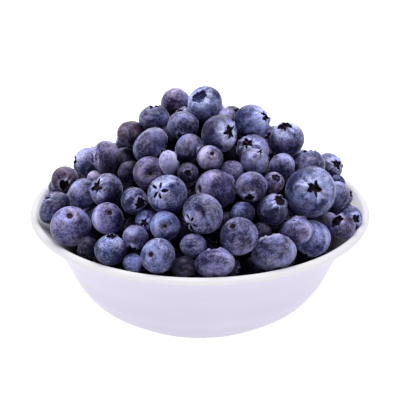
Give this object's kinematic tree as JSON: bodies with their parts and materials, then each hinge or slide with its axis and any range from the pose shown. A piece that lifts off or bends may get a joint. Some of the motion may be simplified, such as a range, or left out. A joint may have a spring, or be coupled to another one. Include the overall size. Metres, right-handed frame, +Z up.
{
  "type": "bowl of blueberries",
  "caption": "Round white bowl with a flared, rounded lip on a low foot, heaped high with ripe blueberries of mixed sizes for serving.",
  "frame": {"origin": "centre of the bowl's foot, on the surface that it stands on", "axes": "+Z up along the bowl's axis, -Y towards the viewer of the picture, +X to the viewer's right"},
  "size_m": [0.1354, 0.1354, 0.0936],
  "materials": {
    "white_glaze": "glossy",
    "berry_skin": "dark blue skin with a pale waxy bloom"
  },
  "bodies": {
    "root": {"bowl": "white_glaze", "berries": "berry_skin"}
  },
  "joints": []
}
